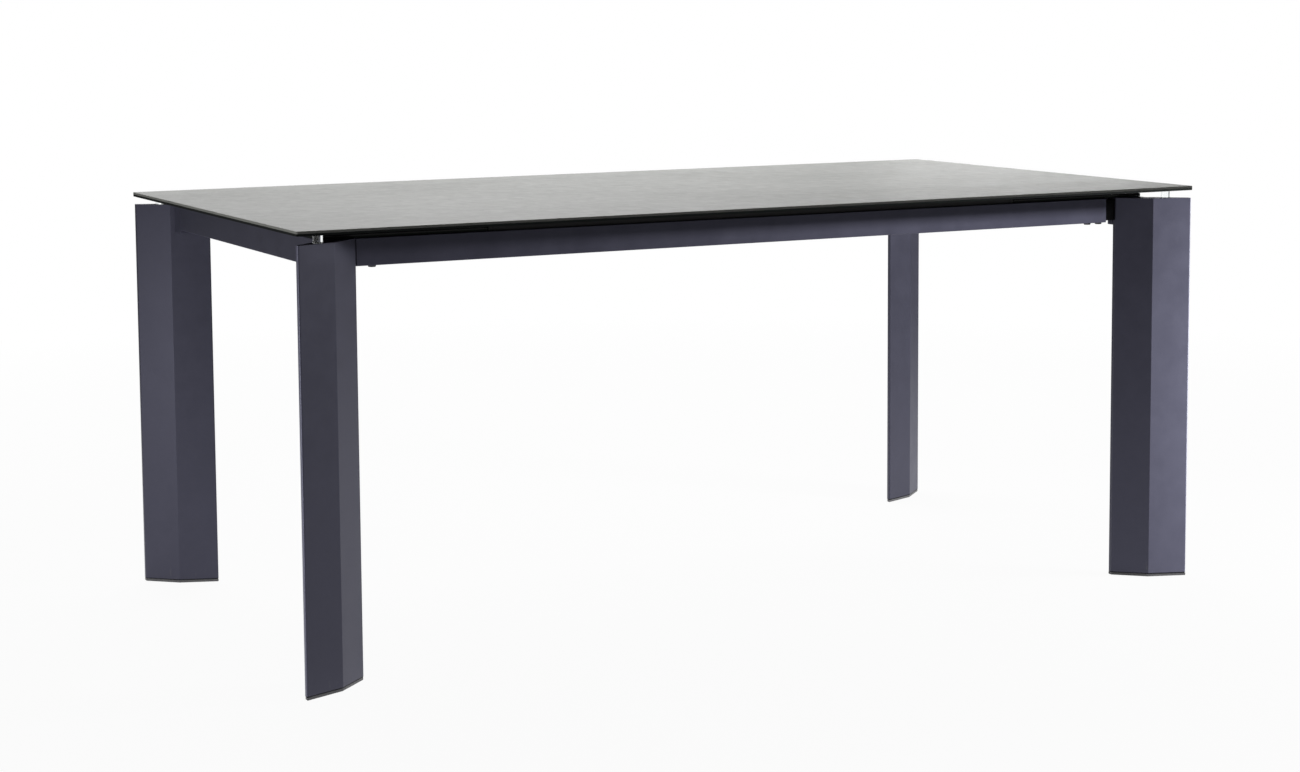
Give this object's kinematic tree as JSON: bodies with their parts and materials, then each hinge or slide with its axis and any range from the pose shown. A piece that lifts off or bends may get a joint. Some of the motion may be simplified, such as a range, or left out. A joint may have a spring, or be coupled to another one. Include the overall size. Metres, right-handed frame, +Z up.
{
  "type": "extendable dining table",
  "caption": "Rectangular dining table with a thin ceramic-on-glass top floating on bevelled anthracite legs, and end leaves that draw out from under the top and lift flush.",
  "frame": {"origin": "on the floor under the middle of the table top", "axes": "+X along the length of the table, +Y across it to the back, +Z up"},
  "size_m": [1.8, 0.95, 0.76],
  "materials": {
    "grey_ceramic": "matt concrete-grey sintered ceramic sheet with soft clouding",
    "black_glass": "back-painted black toughened glass",
    "anthracite": "satin anthracite powder coat",
    "foot_grey": "mid-grey plastic",
    "clear_plastic": "clear plastic",
    "black_casting": "matt black paint",
    "dark_steel": "black oxide steel",
    "bright_steel": "zinc-plated steel",
    "plain_aluminium": "natural anodised aluminium",
    "nylon": "black sliding nylon",
    "black_rubber": "black rubber",
    "black_plastic": "textured black plastic"
  },
  "bodies": {
    "frame": {"apron_back": "anthracite", "apron_bolts": "dark_steel", "apron_front": "anthracite", "apron_tongues": "black_casting", "bonded_discs": "bright_steel", "end_brackets": "anthracite", "feet": "foot_grey", "guide_back_left": "plain_aluminium", "guide_back_right": "plain_aluminium", "guide_bumpers": "black_rubber", "guide_front_left": "plain_aluminium", "guide_front_right": "plain_aluminium", "guide_liners": "nylon", "guide_screws": "dark_steel", "left_cross_bar": "anthracite", "leg_back_left": "anthracite", "leg_back_right": "anthracite", "leg_front_left": "anthracite", "leg_front_right": "anthracite", "leg_plates": "anthracite", "right_cross_bar": "anthracite", "support_blocks": "black_rubber", "tongue_screws": "dark_steel", "top_ceramic": "grey_ceramic", "top_glass": "black_glass", "top_posts": "plain_aluminium", "top_screws": "dark_steel", "top_spacers": "clear_plastic"},
    "left_carriage": {"left_end_rail": "anthracite", "left_rail_caps": "anthracite", "left_slide_bars": "plain_aluminium", "left_bar_angles": "bright_steel", "left_cross_members": "black_casting", "left_pin_bushes": "nylon", "left_shaft_bearings": "nylon"},
    "left_leaf": {"left_leaf_ceramic": "grey_ceramic", "left_leaf_glass": "black_glass", "left_leaf_bearers": "plain_aluminium", "left_leaf_bars": "plain_aluminium", "left_lift_pins": "bright_steel"},
    "left_cam": {"left_cam_shaft": "bright_steel", "left_cams": "nylon", "left_lever": "bright_steel", "left_lever_grip": "black_plastic"},
    "right_carriage": {"right_end_rail": "anthracite", "right_rail_caps": "anthracite", "right_slide_bars": "plain_aluminium", "right_bar_angles": "bright_steel", "right_cross_members": "black_casting", "right_pin_bushes": "nylon", "right_shaft_bearings": "nylon"},
    "right_leaf": {"right_leaf_ceramic": "grey_ceramic", "right_leaf_glass": "black_glass", "right_leaf_bearers": "plain_aluminium", "right_leaf_bars": "plain_aluminium", "right_lift_pins": "bright_steel"},
    "right_cam": {"right_cam_shaft": "bright_steel", "right_cams": "nylon", "right_lever": "bright_steel", "right_lever_grip": "black_plastic"}
  },
  "joints": [
    {"name": "left_leaf_slide", "type": "slide", "parent": "frame", "child": "left_carriage", "axis": [-0.9997, 0, 0.0228], "range_m": [0, 0.3641]},
    {"name": "left_leaf_lift", "type": "slide", "parent": "left_carriage", "child": "left_leaf", "axis": [0, 0, 1], "range_m": [0, 0.0081]},
    {"name": "left_cam_turn", "type": "hinge", "parent": "left_carriage", "child": "left_cam", "pos_m": [-0.6865, 0, 0.71435], "axis": [0, -1, 0], "range_deg": [0, 90]},
    {"name": "right_leaf_slide", "type": "slide", "parent": "frame", "child": "right_carriage", "axis": [0.9997, 0, 0.0228], "range_m": [0, 0.3641]},
    {"name": "right_leaf_lift", "type": "slide", "parent": "right_carriage", "child": "right_leaf", "axis": [0, 0, 1], "range_m": [0, 0.0081]},
    {"name": "right_cam_turn", "type": "hinge", "parent": "right_carriage", "child": "right_cam", "pos_m": [0.6865, 0, 0.71435], "axis": [0, 1, 0], "range_deg": [0, 90]}
  ],
  "couplings": [
    {"joint": "left_cam_turn", "follows": "left_leaf_lift", "rad_per_m": 193.92},
    {"joint": "right_cam_turn", "follows": "right_leaf_lift", "rad_per_m": 193.92}
  ]
}
